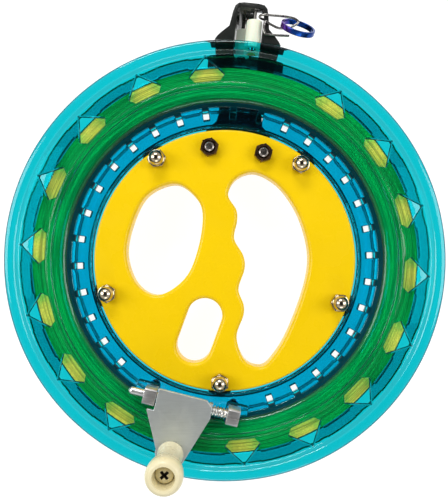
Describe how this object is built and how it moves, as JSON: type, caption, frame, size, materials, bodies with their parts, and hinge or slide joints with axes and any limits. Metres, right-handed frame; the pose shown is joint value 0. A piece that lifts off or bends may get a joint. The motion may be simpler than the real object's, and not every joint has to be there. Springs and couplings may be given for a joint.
{
  "type": "kite line reel",
  "caption": "Hand-held line reel: a clear wheel spins on ball bearings round a grip hub with finger holes, wound by a folding crank, with a roller line guide.",
  "frame": {"origin": "centre of the hub's back face, on the wheel's axis", "axes": "+Z along the wheel's axis towards the crank side, +Y towards the line guide (6 degrees short of it), +X to the right as seen from the crank side; the reel lies on its back"},
  "size_m": [0.18, 0.197, 0.0637],
  "materials": {
    "hub": "smooth moulded yellow ABS, satin gloss",
    "screw": "bright nickel-plated steel",
    "guide_nut": "plain steel, dark reflections",
    "bearing": "dark bearing steel",
    "wheel": "clear cyan-blue moulded plastic",
    "line": "olive-yellow braided line, wound",
    "lug": "sawn and polished steel",
    "plate": "brushed stainless steel sheet",
    "knob": "ivory moulded plastic",
    "bracket": "black moulded nylon, satin",
    "roller": "milky white nylon",
    "clip": "dark nickel spring wire",
    "ring": "blue to purple anodised, glossy"
  },
  "bodies": {
    "hub": {"hub_front_plate": "hub", "hub_rear_plate": "hub", "hub_screw_1": "screw", "hub_screw_2": "screw", "hub_screw_3": "screw", "hub_screw_4": "screw", "hub_screw_5": "screw", "hub_cap_nut_1": "screw", "hub_cap_nut_2": "screw", "hub_cap_nut_3": "screw", "hub_cap_nut_4": "screw", "hub_cap_nut_5": "screw", "bearing_inner_ring_1": "bearing", "bearing_inner_ring_2": "bearing", "bearing_inner_ring_3": "bearing", "bearing_inner_ring_4": "bearing", "bearing_inner_ring_5": "bearing", "guide_bracket": "bracket", "guide_bolt_1": "screw", "guide_bolt_2": "screw", "guide_nut_1": "guide_nut", "guide_nut_2": "guide_nut", "guide_roller_pin_front": "screw", "guide_roller_pin_rear": "screw"},
    "bearing_1": {"bearing_outer_ring_1": "bearing"},
    "bearing_2": {"bearing_outer_ring_2": "bearing"},
    "bearing_3": {"bearing_outer_ring_3": "bearing"},
    "bearing_4": {"bearing_outer_ring_4": "bearing"},
    "bearing_5": {"bearing_outer_ring_5": "bearing"},
    "wheel": {"wheel_front_half": "wheel", "wheel_rear_half": "wheel", "line_winding": "line", "hinge_lug_left": "lug", "hinge_lug_right": "lug", "lug_screw_left": "screw", "lug_screw_right": "screw", "crank_spring": "screw"},
    "crank_slider": {"crank_pin": "screw"},
    "crank": {"crank_plate": "plate", "knob_screw": "screw", "knob_nut": "screw"},
    "knob": {"knob": "knob"},
    "roller_front": {"guide_roller_front": "roller"},
    "roller_rear": {"guide_roller_rear": "roller"},
    "snap": {"snap_clip": "clip"},
    "ring": {"ring": "ring"}
  },
  "joints": [
    {"name": "wheel_spin", "type": "hinge", "parent": "hub", "child": "wheel", "pos_m": [0, 0, 0.005], "axis": [0, 0, 1], "continuous": true},
    {"name": "bearing_1_spin", "type": "hinge", "parent": "hub", "child": "bearing_1", "pos_m": [0.03161, 0.04002, 0.005], "axis": [0, 0, 1], "continuous": true},
    {"name": "bearing_2_spin", "type": "hinge", "parent": "hub", "child": "bearing_2", "pos_m": [-0.0283, 0.04243, 0.005], "axis": [0, 0, 1], "continuous": true},
    {"name": "bearing_3_spin", "type": "hinge", "parent": "hub", "child": "bearing_3", "pos_m": [-0.0491, -0.0138, 0.005], "axis": [0, 0, 1], "continuous": true},
    {"name": "bearing_4_spin", "type": "hinge", "parent": "hub", "child": "bearing_4", "pos_m": [-0.00205, -0.05096, 0.005], "axis": [0, 0, 1], "continuous": true},
    {"name": "bearing_5_spin", "type": "hinge", "parent": "hub", "child": "bearing_5", "pos_m": [0.04783, -0.01769, 0.005], "axis": [0, 0, 1], "continuous": true},
    {"name": "crank_slide", "type": "slide", "parent": "wheel", "child": "crank_slider", "axis": [0.9699, -0.2436, 0], "range_m": [0, 0.003], "stiffness_N_per_m": 400, "springref_m": -0.002, "deforming": ["crank_spring"]},
    {"name": "crank_fold", "type": "hinge", "parent": "crank_slider", "child": "crank", "pos_m": [-0.01474, -0.05868, 0.0178], "axis": [-0.9699, 0.2436, 0], "range_deg": [0, 125]},
    {"name": "knob_spin", "type": "hinge", "parent": "crank", "child": "knob", "pos_m": [-0.02187, -0.07761, 0.0219], "axis": [0, 0, 1], "continuous": true},
    {"name": "roller_front_spin", "type": "hinge", "parent": "hub", "child": "roller_front", "pos_m": [0.01129, 0.0883, 0.0109], "axis": [0.1045, 0.9945, 0], "continuous": true},
    {"name": "roller_rear_spin", "type": "hinge", "parent": "hub", "child": "roller_rear", "pos_m": [0.00722, 0.08873, -0.0012], "axis": [0.1045, 0.9945, 0], "continuous": true},
    {"name": "snap_swing", "type": "hinge", "parent": "hub", "child": "snap", "pos_m": [0.01715, 0.10146, 0.01175], "axis": [-0.1045, -0.9945, 0], "range_deg": [0, 25]},
    {"name": "ring_swing", "type": "hinge", "parent": "snap", "child": "ring", "pos_m": [0.03, 0.0955, 0.0156], "axis": [-0.9483, 0.3173, 0], "range_deg": [0, 26]}
  ],
  "couplings": [
    {"joint": "bearing_1_spin", "follows": "wheel_spin", "ratio": 8.8923},
    {"joint": "bearing_2_spin", "follows": "wheel_spin", "ratio": 8.8923},
    {"joint": "bearing_3_spin", "follows": "wheel_spin", "ratio": 8.8923},
    {"joint": "bearing_4_spin", "follows": "wheel_spin", "ratio": 8.8923},
    {"joint": "bearing_5_spin", "follows": "wheel_spin", "ratio": 8.8923}
  ]
}
